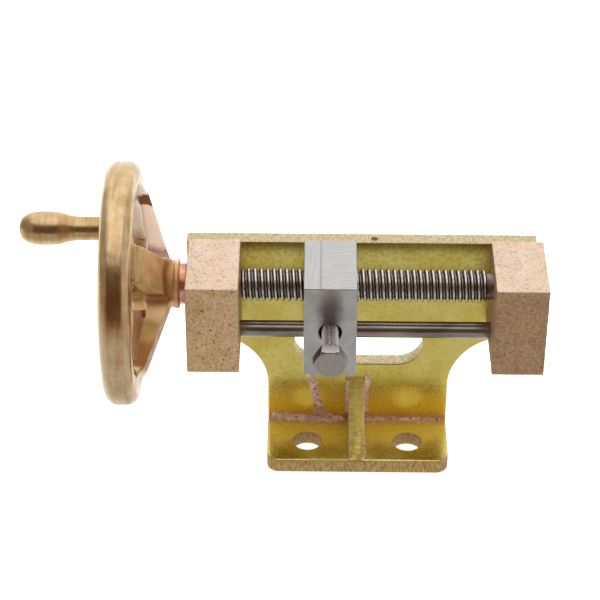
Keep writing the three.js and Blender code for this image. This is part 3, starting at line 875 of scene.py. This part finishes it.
def braze_bead(places, first, second, seed, lengths, lean=0.8):
    """A lumpy fillet along a line of places. first and second point from the corner along its two faces."""
    around = 9
    points = []
    low, high = lengths
    for i, spot in enumerate(places):
        ends = min(1.0, math.sin(math.pi * (i + 0.5) / len(places)) * 6)
        sizes = []
        for coarse, fine, shift in ((4.0, 1.1, 0), (3.1, 0.9, 3)):
            fine_seed = seed + (13 if shift else 11)
            swell = 0.5 + 0.4 * rough(spot, coarse, seed + shift) + 0.45 * rough(spot, fine, fine_seed)
            sizes.append(max(low, low + (high - low) * swell) * ends)
        for step in range(around):
            t = step / (around - 1)
            bulge = 0.1 * math.sin(math.pi * t) * (1 + 1.5 * rough(np.array(spot) + t * 2, 0.7, seed + 7))
            a = (sizes[0] + 0.05) * (1 - t) ** 2 + bulge
            b = (sizes[1] * lean + 0.05) * t ** 2 + bulge
            points.append(np.array(spot) + first * a + second * b)
        points.append(np.array(spot))
    columns = around + 1
    faces = grid_faces(len(places), columns, wrap_columns=True)
    faces += [list(range(columns)), list(range((len(places) - 1) * columns, len(places) * columns))]
    return np.array(points), faces


def braze():
    copper = braze_copper()
    up, ahead, left, right = (np.array(v, float) for v in ((0, 0, 1), (0, -1, 0), (-1, 0, 0), (1, 0, 0)))
    wall, ground = PLATE_LOW[1], FOOT_HIGH[2]
    beads = {}
    for node, seed, lengths in (("braze_corner_left", 1.0, (0.5, 2.2)),
                                ("braze_corner_right", 9.0, (0.25, 0.95))):
        low, high = span(node)
        places = [(x, wall, ground) for x in np.arange(low[0], high[0], BEAD_STEP)]
        beads[node] = braze_bead(places, up, ahead, seed, lengths)
    for node, x, away, seed, lengths in (("braze_rib_left", RIB_LOW[0], left, 4.0, (0.15, 1.0)),
                                         ("braze_rib_right", RIB_HIGH[0], right, 6.0, (0.5, 1.8))):
        low, high = span(node)
        places = [(x, wall, z) for z in np.arange(low[2], high[2] + 1.2, BEAD_STEP)]
        beads[node] = braze_bead(places, away, ahead, seed, lengths)
    along_foot = [(RIB_HIGH[0], y, ground) for y in np.arange(wall, FOOT_LOW[1] + 1.0, -BEAD_STEP)]
    along_foot = braze_bead(along_foot, right, up, 15.0, (0.15, 0.9), 0.5)
    beads["braze_rib_right"] = joined(beads["braze_rib_right"], along_foot)
    beads["braze_streak"] = streak()
    for node, shape in beads.items():
        piece(node, "bracket", copper, shape, sharp=60 if node == "braze_streak" else 70)


def streak():
    """The braze that ran down the plate: a thin uneven film."""
    low, high = span("braze_streak")
    rows, columns = 60, 15
    half, thickness = 1.15, 0.26
    front = PLATE_LOW[1]
    points = []
    for row in range(rows):
        t = row / (rows - 1)
        centre_x = low[0] + half + (high[0] - low[0] - 2 * half) * t
        z = high[2] - (high[2] - FOOT_HIGH[2] - 0.9) * t
        taper = min(1.0, 0.3 + 5 * t, 0.5 + 8 * (1 - t))
        width = half * (0.8 + 0.5 * rough((0, 0, z), 1.5, 2.0) + 0.4 * t) * taper
        for column in range(columns):
            s = 2 * column / (columns - 1) - 1
            height = thickness * (1 - s * s) * (1 + 0.8 * rough((s * 2, 0, z), 0.8, 3.0))
            points.append((centre_x + s * width, front - height, z))
    back = [(x, front + 0.05, z) for x, _, z in points]
    faces = grid_faces(rows, columns)
    faces += [[i + len(points) for i in face] for face in faces]
    number = np.arange(rows * columns).reshape(rows, columns)
    rim = [*number[0], *number[1:, -1], *number[-1, -2::-1], *number[-2:0:-1, 0]]
    for here, there in zip(rim, rim[1:] + rim[:1]):
        faces.append([int(i) for i in (here, there, there + len(points), here + len(points))])
    return np.array(points + back), faces


# ---------- leadscrew ----------

def thread_radii(places, pitch, segments, crest, root, root_radius, outer_radius):
    """A thread's radius at each place along it and each angle. crest and root are the flats' shares."""
    turns = places[:, None] / pitch - angles_of(segments)[None, :] / (2 * math.pi)
    rise = np.clip((np.abs((turns % 1.0) - 0.5) * 2 - root) / (1 - crest - root), 0, 1)
    return root_radius + (outer_radius - root_radius) * rise ** 1.1


def leadscrew():
    segments = 72
    thread_start, thread_end = LEFT_HIGH[0] + 0.25, RIGHT_LOW[0] - 1.5
    places = np.arange(thread_start, thread_end, SCREW_PITCH / 16)
    radii = thread_radii(places, SCREW_PITCH, segments, 0.24, 0.18, SCREW_RADIUS - 0.85, SCREW_RADIUS)
    run_out = np.clip(np.minimum(places - thread_start, thread_end - places) / 0.5, 0, 1)[:, None]
    neck, seat = SCREW_RADIUS - 0.8, 2.5
    start, end, hub_right, wall = SCREW_LOW[0], SCREW_HIGH[0], span("thrust_collar")[0][0], RIGHT_LOW[0]
    before = softened([(start, 0), (start, seat), (hub_right, seat)], 0.3)
    step = thread_start - 0.01
    before += [(hub_right, JOURNAL_RADIUS), (step, JOURNAL_RADIUS), (step, neck)]
    after = [(wall - 0.25, neck), (wall - 0.25, JOURNAL_RADIUS)]
    after += softened([(wall - 0.2, JOURNAL_RADIUS), (end, JOURNAL_RADIUS), (end, 0)], 0.3)
    thread = list(zip(places, neck + (radii - neck) * run_out))
    screw = turned(before + thread + after, SCREW_AXIS, segments=segments)
    piece("leadscrew", "wheel_and_screw", thread_steel(), screw, sharp=50)


# ---------- handwheel ----------

def smooth_join(a, b, radius):
    """Two distance fields joined with a fillet of about that radius."""
    blend = np.clip(0.5 + 0.5 * (b - a) / radius, 0, 1)
    return b + (a - b) * blend - radius * blend * (1 - blend)


def polygon_field(x, y, corners):
    """Signed distance from points to a polygon, negative inside."""
    nearest = np.full(x.shape, np.inf)
    inside = np.zeros(x.shape, bool)
    for (ax, ay), (bx, by) in zip(corners, corners[1:] + corners[:1]):
        dx, dy = bx - ax, by - ay
        share = np.clip(((x - ax) * dx + (y - ay) * dy) / (dx * dx + dy * dy), 0, 1)
        nearest = np.minimum(nearest, (x - ax - share * dx) ** 2 + (y - ay - share * dy) ** 2)
        if dy != 0:
            inside ^= ((y < ay) != (y < by)) & (x < ax + (y - ay) * dx / dy)
    return np.sqrt(nearest) * np.where(inside, -1, 1)


def both_fields(a, b):
    """Signed distance to what is inside of both edges, from the distances to each."""
    return np.hypot(np.maximum(a, 0), np.maximum(b, 0)) + np.minimum(np.maximum(a, b), 0)


def box_field(x, y, half_x, half_y, corner):
    """Signed distance to a rectangle with rounded corners."""
    return both_fields(np.abs(x) - half_x + corner, np.abs(y) - half_y + corner) - corner


def spoke_outline():
    """A spoke's side view as (x, radius): a blade that leans back from the hub to the rim."""
    tip = RIM_INNER_RADIUS + 1.6
    back = RIM_RIGHT + 0.65
    return [(HUB_RIGHT - 2.3, 2.0), (HUB_RIGHT - 2.55, 6.2), (HUB_RIGHT - 5.4, 14.7),
            (HUB_RIGHT - 7.7, RIM_INNER_RADIUS - 0.7), (RIM_RIGHT - 0.8, tip), (RIM_RIGHT - 4.2, tip),
            (back - 1.9, 21.3), (back - 1.0, 19.6), (back - 0.5, 17.8), (back - 0.15, 15.8),
            (back + 0.15, 13.6), (back + 0.6, 11.2), (back + 1.3, 8.8), (back + 1.5, 2.0)]


def wheel_field(points):
    """Distance field of the handwheel about its own axis, with the spokes on the diagonals."""
    x, y, z = points[..., 0], points[..., 1], points[..., 2]
    radius = np.hypot(y, z)
    rim = box_field(x - (RIM_LEFT + RIM_RIGHT) / 2, radius - (WHEEL_RADIUS + RIM_INNER_RADIUS) / 2,
                    RIM_WIDTH / 2, (WHEEL_RADIUS - RIM_INNER_RADIUS) / 2, RIM_CORNER)
    flare = np.clip((HUB_RIGHT - 1.2 - x) / 9, 0, 1)
    hub = box_field(x - (HUB_RIGHT + HUB_LEFT) / 2, radius - 0.9 * flare,
                    (HUB_RIGHT - HUB_LEFT) / 2, HUB_RADIUS, 0.3)
    lip = box_field(x - HUB_RIGHT + 0.55, radius, 0.55, HUB_RADIUS + 0.28, 0.25)
    hub = smooth_join(hub, lip, 0.3)
    a = np.abs(y + z) * math.sqrt(0.5)
    b = np.abs(z - y) * math.sqrt(0.5)
    outline = spoke_outline()
    spokes = []
    for out, across in ((a, b), (b, a)):
        side = polygon_field(x, out, outline) + SPOKE_CORNER
        spokes.append(both_fields(side, across - SPOKE_HALF_WIDTH + SPOKE_CORNER) - SPOKE_CORNER)
    blade_fillet, hub_fillet, rim_fillet = 2.6, 0.9, 2.2
    blades = smooth_join(spokes[0], spokes[1], blade_fillet)
    body = smooth_join(smooth_join(blades, hub, hub_fillet), rim, rim_fillet)
    bore = radius - WHEEL_BORE
    from_pin = np.hypot(y - HANDLE_RADIUS, z)
    seat = np.maximum(from_pin - PIN_END_RADIUS - 0.14, RIM_RIGHT - 2.2 - x)
    for hollow, softness in ((bore, 0.2), (from_pin - PIN_RADIUS - 0.03, 0.1), (seat, 0.1)):
        body = -smooth_join(-body, hollow, softness)
    return body


def onto_screw(shape):
    """A shape made about the X axis, moved to the screw's axis with the wheel's turn."""
    x, y, z = np.array(shape[0]).T
    cos, sin = math.cos(WHEEL_TURN), math.sin(WHEEL_TURN)
    return np.stack([x, SCREW_Y + y * cos - z * sin, SCREW_Z + y * sin + z * cos], -1), shape[1]


def handwheel(finish):
    reach = WHEEL_RADIUS + 1.0
    step = 0.33
    net = surface_net(wheel_field, (RIM_LEFT - 1.0, -reach, -reach), (HUB_RIGHT + 1.0, reach, reach), step)
    piece("handwheel", "wheel_and_screw", finish, onto_screw(net), sharp=80)


def pin_end():
    """The riveted end of the handle's pin, dressed level with the rim's rounded flank."""
    segments = 64
    angles = angles_of(segments)
    rows = []
    for reach, sunk in ((0.0, 0.0), (0.9, 0.0), (1.6, 0.0), (2.1, 0.0), (2.45, 0.03), (PIN_END_RADIUS, 0.15)):
        y, z = HANDLE_RADIUS + reach * np.cos(angles), reach * np.sin(angles)
        from_corner = np.hypot(y, z) - RIM_INNER_RADIUS - RIM_CORNER
        rise = np.sqrt(RIM_CORNER ** 2 - np.clip(from_corner, -RIM_CORNER * 0.99, 0) ** 2)
        rows.append(np.stack([RIM_RIGHT - RIM_CORNER + rise - sunk, y, z], -1))
    for reach in (PIN_END_RADIUS, 0.0):
        y, z = HANDLE_RADIUS + reach * np.cos(angles), reach * np.sin(angles)
        rows.append(np.stack([np.full(segments, RIM_RIGHT - 3.2), y, z], -1))
    return np.concatenate(rows), grid_faces(len(rows), segments, wrap_columns=True)


def handle_and_pin(finish, pin_finish):
    tip, end = PIN_TIP, HANDLE_END
    outside = [(0.45, 2.2), (0.9, 2.65), (1.6, 3.25), (2.4, 3.65), (3.2, 3.9), (4.1, 4.1), (5.4, 4.2),
               (7.8, 4.2), (9.8, 4.0), (11.3, 3.6), (12.8, 3.2), (14.4, 3.0), (18.2, 2.95), (20.4, 3.0),
               (22.4, 3.12)]
    profile = [(tip + a, r) for a, r in outside]
    bore = PIN_RADIUS + SLIDING_GAP
    profile += [(end - 0.1, 3.15), (end, 3.05), (end, bore), (tip + 2.85, bore), (tip + 2.85, 2.2)]
    profile = softened(softened(profile, 0.9, closed=True), 0.2, 2, closed=True)
    grip = onto_screw(turned(profile, (HANDLE_RADIUS, 0), ring=True))
    piece("handle", "handle", finish, grip, sharp=50)
    head = [(tip, 0), (tip + 0.1, 1.0), (tip + 0.42, 1.75), (tip + 0.9, 2.1), (tip + 2.8, 2.1),
            (tip + 2.8, PIN_RADIUS), (RIM_RIGHT - 2.9, PIN_RADIUS), (RIM_RIGHT - 2.9, 0)]
    pin = onto_screw(joined(turned(softened(head, 0.25), (HANDLE_RADIUS, 0), segments=64), pin_end()))
    piece("handle_pin", "wheel_and_screw", pin_finish, pin)


def wheel_hardware(steel):
    copper = turned_metal("collar_copper", "E8B49A", "C98A6E", 0.26)
    for node, slot, finish, bore, edge in (("thrust_collar", "collar_copper", copper, BUSH_BORE, 0.15),
                                           ("wheel_washer", "fastener_steel", steel, 2.6, 0.2)):
        low, high = span(node)
        ring = tube(low[0], high[0], bore, (high[1] - low[1]) / 2, SCREW_AXIS, edge)
        piece(node, "wheel_and_screw", finish, ring)
    low, high = span("wheel_nut")
    nut = hexagon_nut(low[0], high[0], 8.0, 2.5)
    piece("wheel_nut", "wheel_and_screw", steel, nut, sharp=25)


def hexagon_nut(start, end, flats, bore):
    """A nut on the screw's axis whose corners are turned off at both ends."""
    segments = 96
    outline = flats / 2 / np.cos((angles_of(segments) + math.pi / 6) % (math.pi / 3) - math.pi / 6)
    face = flats / 2 * 0.97
    steepness = 2.0
    depths = np.linspace(0.04, 0.6, 6)
    profile = [(start, bore), (start, face)]
    profile += [(start + depth, np.minimum(outline, face + depth * steepness)) for depth in depths]
    profile += [(end - depth, np.minimum(outline, face + depth * steepness)) for depth in depths[::-1]]
    profile += [(end, face), (end, bore)]
    return turned(profile, SCREW_AXIS, 0, segments, ring=True)


# ---------- nut block and bolt ----------

def nut_block():
    mouth, hole = BOLT_MOUTH_RADIUS, BOLT_RADIUS + SLIDING_GAP
    mouth_chamfer, bore_chamfer = 0.25, 0.2
    front, back = NUT_LOW[1], NUT_HIGH[1]
    wide, floor_y = mouth + mouth_chamfer, front + BOLT_MOUTH_DEPTH
    profile = [(front - 1, 0), (front - 1, wide + 1), (front, wide), (front + mouth_chamfer, mouth),
               (floor_y, mouth), (floor_y, hole), (back + 1, hole), (back + 1, 0)]
    cutters = [turned(profile, (BOLT_X, BOLT_Z), 1)]
    left, right = NUT_LOW[0], NUT_HIGH[0]
    for radius, centre in ((SCREW_RADIUS + SLIDING_GAP, SCREW_AXIS), (RAIL_RADIUS + SLIDING_GAP, RAIL_AXIS)):
        edge = radius + bore_chamfer
        profile = [(left - 1, 0), (left - 1, edge + 1), (left, edge), (left + bore_chamfer, radius),
                   (right - bore_chamfer, radius), (right, edge), (right + 1, edge + 1), (right + 1, 0)]
        cutters.append(turned(profile, centre))
    block = rounded_block(NUT_LOW, NUT_HIGH, 0.22, 6.0)
    piece("nut_block", "nut", ground_steel(), block, cutters)


def clamp_bolt():
    """One turned shape: the hexagon head, then a threaded shank."""
    segments = 96
    front, end = BOLT_LOW[1], BOLT_HIGH[1]
    back = front + HEAD_THICKNESS
    head = HEAD_FLATS / 2 / np.cos(angles_of(segments) % (math.pi / 3) - math.pi / 6)
    face = HEAD_FLATS / 2 * 0.96
    rows = [(front + 0.12, 0), (front + 0.02, face * 0.55), (front, face * 0.97)]
    rows += [(front + depth, np.minimum(head, face + depth * 1.6)) for depth in np.linspace(0.03, 0.5, 7)]
    rows += [(back - 0.1, head), (back, head - 0.1), (back, BOLT_RADIUS)]
    places = np.arange(back + 0.3, end - 0.5, BOLT_PITCH / 12)
    core = BOLT_RADIUS - 0.42
    thread = thread_radii(places, BOLT_PITCH, segments, 0.42, 0.0, core, BOLT_RADIUS - 0.02)
    fade = np.clip((places - places[0]) / 0.4, 0, 1)[:, None]
    thread = BOLT_RADIUS - 0.05 + (thread - BOLT_RADIUS + 0.05) * fade
    tip_limit = BOLT_RADIUS - np.clip(places - (end - 0.9), 0, 1)
    rows += zip(places, np.minimum(thread, tip_limit[:, None]))
    rows += [(end - 0.45, core), (end, core - 0.3), (end, 0)]
    bolt = turned(rows, (BOLT_X, BOLT_Z), 1, segments)
    piece("clamp_bolt", "bolt", bolt_steel(), bolt, sharp=28)


# ---------- stage ----------

# The camera that was fitted to the photo, in millimetres and degrees
CAMERA_PLACE = (-11.95, -423.6, 351.1)
CAMERA_PITCH = 35.654
CAMERA_YAW = -0.351
CAMERA_ROLL = 0.299
LENS = 130.7


def camera():
    pitch, yaw, roll = (math.radians(a) for a in (CAMERA_PITCH, CAMERA_YAW, CAMERA_ROLL))
    ahead = Vector((math.sin(yaw) * math.cos(pitch), math.cos(yaw) * math.cos(pitch), -math.sin(pitch)))
    level = Vector((math.cos(yaw), -math.sin(yaw), 0))
    above = level.cross(ahead)
    right = level * math.cos(roll) + above * math.sin(roll)
    up = above * math.cos(roll) - level * math.sin(roll)
    data = bpy.data.cameras.new("camera")
    data.lens = LENS
    data.clip_start, data.clip_end = 0.01, 20
    view = add_object("camera", data)
    turn = Matrix((right, up, -ahead)).transposed()
    view.matrix_world = Matrix.Translation(Vector(CAMERA_PLACE) * MM) @ turn.to_4x4()
    bpy.context.scene.camera = view


def sheet(name, height, size):
    """A level square of the studio floor, and the nodes of its material."""
    mesh = bpy.data.meshes.new(name)
    corners = [(-size, -size, 0), (size, -size, 0), (size, size, 0), (-size, size, 0)]
    mesh.from_pydata(corners, [], [(0, 1, 2, 3)])
    made = add_object(name, mesh)
    made.location.z = height
    paper = bpy.data.materials.new(name)
    paper.use_nodes = True
    mesh.materials.append(paper)
    return made, Nodes(paper.node_tree)


def floor():
    """White paper, and under it the softer grey that polished metal sees in its place."""
    paper, nodes = sheet("floor", -0.00002, 3.0)
    seen = nodes.add("ShaderNodeLightPath", {}, "Is Camera Ray")
    lift = nodes.add("ShaderNodeMapRange", {"Value": seen, "To Min": 0.25, "To Max": 0.75})
    nodes.look({"Base Color": (0.9, 0.9, 0.9, 1), "Roughness": 0.9, "Emission Color": (1, 1, 1, 1),
                "Emission Strength": lift})
    paper.visible_glossy = False
    mirrored, nodes = sheet("floor_mirrored", -0.00004, 0.6)
    y = nodes.split(nodes.add("ShaderNodeTexCoord", {}, "Object"))[1]
    nodes.look({"Base Color": (0, 0, 0, 1), "Emission Color": (1, 0.99, 0.97, 1),
                "Emission Strength": y.between(-0.03, 0.03, 0.55, 1.1)})
    mirrored.visible_camera = mirrored.visible_diffuse = mirrored.visible_shadow = False


def surroundings():
    """A light tent that is open and darker where the camera stands."""
    world = bpy.data.worlds.new("tent")
    world.use_nodes = True
    bpy.context.scene.world = world
    nodes = Nodes(world.node_tree)
    x, y, z = nodes.split(nodes.add("ShaderNodeTexCoord", {}, "Generated"))
    overhead = z.over(0.7, 0.95)
    behind = y.over(-0.1, 0.5, 0.95) * abs(x).between(0.35, 0.8, 1.0, 0.35)
    beside = x.under(-0.7, -0.3, 0.22) + x.over(0.3, 0.7, 0.5)
    strength = nodes.math("MAXIMUM", nodes.math("MAXIMUM", overhead, behind), beside)
    tent = world.node_tree.nodes["Background"]
    nodes.feed(tent.inputs["Color"], nodes.mix(strength, (0.13, 0.09, 0.064, 1), (1.0, 0.99, 0.98, 1)))
    nodes.feed(tent.inputs["Strength"], 1.2)
    plain = nodes.add("ShaderNodeBackground", {"Color": (0.93, 0.93, 0.93, 1)})
    seen = nodes.add("ShaderNodeLightPath", {}, "Is Camera Ray")
    choice = nodes.add("ShaderNodeMixShader", {0: seen, 1: Value(nodes, tent.outputs[0]), 2: plain})
    nodes.feed(world.node_tree.nodes["World Output"].inputs["Surface"], choice)


def softbox():
    data = bpy.data.lights.new("softbox", "AREA")
    data.shape = "RECTANGLE"
    data.size, data.size_y = 1.2, 1.1
    data.energy = 3.7
    lamp = add_object("softbox", data)
    lamp.location = (-0.1, 0.05, 0.75)
    lamp.visible_glossy = False
    lamp.rotation_mode = "QUATERNION"
    lamp.rotation_quaternion = (Vector((0, 0, 0.04)) - lamp.location).to_track_quat("-Z", "Y")


# ---------- the scene ----------

back_plate()
foot_plate()
gusset_rib()
bearing_block("left_bearing_block", LEFT_LOW, LEFT_HIGH, ("DDB988", "D0AA78"), 0.95, 1.0)
bearing_block("right_bearing_block", RIGHT_LOW, RIGHT_HIGH, ("B6926C", "AB8762"), 0.5, 4.0)
guide_rod()
bushes()
hardware_steel = turned_metal("fastener_steel", "B4B0AC", "8F8B87", 0.32)
block_screws(hardware_steel)
braze()
leadscrew()
wheel_bronze = polished_bronze("wheel_bronze")
handwheel(wheel_bronze)
handle_and_pin(polished_bronze("handle_bronze", 0.4), wheel_bronze)
wheel_hardware(hardware_steel)
nut_block()
clamp_bolt()

camera()
floor()
surroundings()
softbox()
bpy.context.scene.view_settings.view_transform = "Standard"
